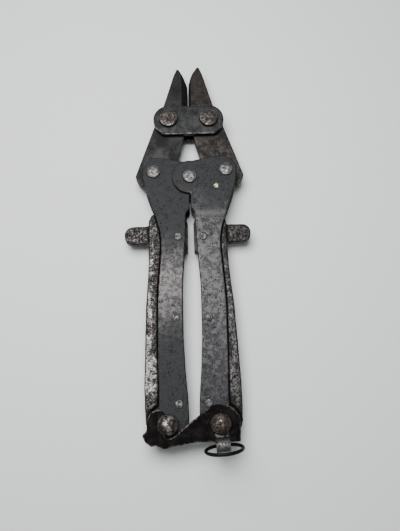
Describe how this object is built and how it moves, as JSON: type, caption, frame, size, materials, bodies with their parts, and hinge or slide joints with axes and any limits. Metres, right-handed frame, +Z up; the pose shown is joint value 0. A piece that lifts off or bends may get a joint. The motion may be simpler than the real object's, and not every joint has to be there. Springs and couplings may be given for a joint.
{
  "type": "bolt cutters",
  "caption": "Folding bolt and wire cutters: riveted jaws and link plates, sheet-steel levers, fold-out handles with finger ears, hook latch and lanyard ring.",
  "frame": {"origin": "on the centre pin's axis, at the flat back of its rear head, which rests on the table when the closed tool lies flat", "axes": "+Y along the tool to the jaws, +Z up from the table, +X to the side that carries the latch pivot"},
  "size_m": [0.0694, 0.2211, 0.0352],
  "materials": {
    "left_jaw_steel": "dark blue-grey forged steel, ground cutting edge",
    "right_jaw_steel": "dark forged steel with brown rust staining",
    "link_steel": "dark grey worn steel with faint marks",
    "jaw_pin_steel": "brownish silver, pitted head",
    "bright_pin_steel": "bright worn steel",
    "spacer_steel": "dark steel",
    "left_lever_steel": "slate grey sheet, mottled, worn lighter in the middle",
    "right_lever_steel": "slate grey sheet, mottled and pitted",
    "bar_steel": "blackened steel",
    "rivet_steel": "worn grey steel",
    "left_handle_steel": "worn silver steel with dark pits",
    "right_handle_steel": "darker mottled steel",
    "left_dome_steel": "pitted silver dome",
    "right_dome_steel": "pitted brown-grey dome",
    "latch_steel": "black-brown steel with bright worn edges",
    "strap_steel": "grey bent steel strip",
    "ring_steel": "black enamelled wire"
  },
  "bodies": {
    "links": {"front_link_plate": "link_steel", "rear_link_plate": "link_steel", "left_jaw_pin": "jaw_pin_steel", "right_jaw_pin": "jaw_pin_steel"},
    "left_jaw": {"left_jaw": "left_jaw_steel"},
    "right_jaw": {"right_jaw": "right_jaw_steel"},
    "left_lever": {"left_front_plate": "left_lever_steel", "left_rear_plate": "left_lever_steel", "left_spine_bar": "bar_steel", "left_plate_rivets": "rivet_steel", "left_heel_pin": "bright_pin_steel", "left_heel_spacer": "spacer_steel", "centre_pin": "bright_pin_steel", "centre_bush": "spacer_steel", "left_handle_pin": "left_dome_steel"},
    "right_lever": {"right_front_plate": "right_lever_steel", "right_rear_plate": "right_lever_steel", "right_spine_bar": "bar_steel", "right_plate_rivets": "rivet_steel", "right_heel_pin": "bright_pin_steel", "right_heel_spacer": "spacer_steel", "right_handle_pin": "right_dome_steel"},
    "left_handle": {"left_handle": "left_handle_steel"},
    "right_handle": {"right_handle": "right_handle_steel"},
    "latch": {"latch_hook": "latch_steel", "lanyard_strap": "strap_steel"},
    "ring": {"lanyard_ring": "ring_steel"}
  },
  "joints": [
    {"name": "left_jaw_pivot", "type": "hinge", "parent": "links", "child": "left_jaw", "pos_m": [-0.0115, 0.0362, 0.00845], "axis": [0, 0, 1], "range_deg": [0, 9.01]},
    {"name": "right_jaw_pivot", "type": "hinge", "parent": "links", "child": "right_jaw", "pos_m": [0.0115, 0.0362, 0.00845], "axis": [0, 0, -1], "range_deg": [0, 9.01]},
    {"name": "lever_opening", "type": "hinge", "parent": "left_jaw", "child": "left_lever", "pos_m": [-0.0202, 0.004, 0.00845], "axis": [0, 0, -1], "range_deg": [0, 43]},
    {"name": "right_lever_pivot", "type": "hinge", "parent": "right_jaw", "child": "right_lever", "pos_m": [0.0202, 0.004, 0.00845], "axis": [0, 0, 1], "range_deg": [0, 43]},
    {"name": "left_handle_fold", "type": "hinge", "parent": "left_lever", "child": "left_handle", "pos_m": [-0.01315, -0.1338, 0.00845], "axis": [0, 0, 1], "range_deg": [0, 165]},
    {"name": "right_handle_fold", "type": "hinge", "parent": "right_lever", "child": "right_handle", "pos_m": [0.01315, -0.1338, 0.00845], "axis": [0, 0, -1], "range_deg": [0, 165]},
    {"name": "latch_swing", "type": "hinge", "parent": "right_lever", "child": "latch", "pos_m": [0.01315, -0.1338, 0.01535], "axis": [0, 0, 1], "range_deg": [0, 110]},
    {"name": "ring_swing", "type": "hinge", "parent": "latch", "child": "ring", "pos_m": [0.01402, -0.14376, 0.01692], "axis": [-0.9962, -0.0872, 0], "range_deg": [-128, 10]}
  ],
  "couplings": [
    {"joint": "left_jaw_pivot", "follows": "lever_opening", "ratio": 0.2095},
    {"joint": "right_jaw_pivot", "follows": "lever_opening", "ratio": 0.2095},
    {"joint": "right_lever_pivot", "follows": "lever_opening", "ratio": 1}
  ]
}
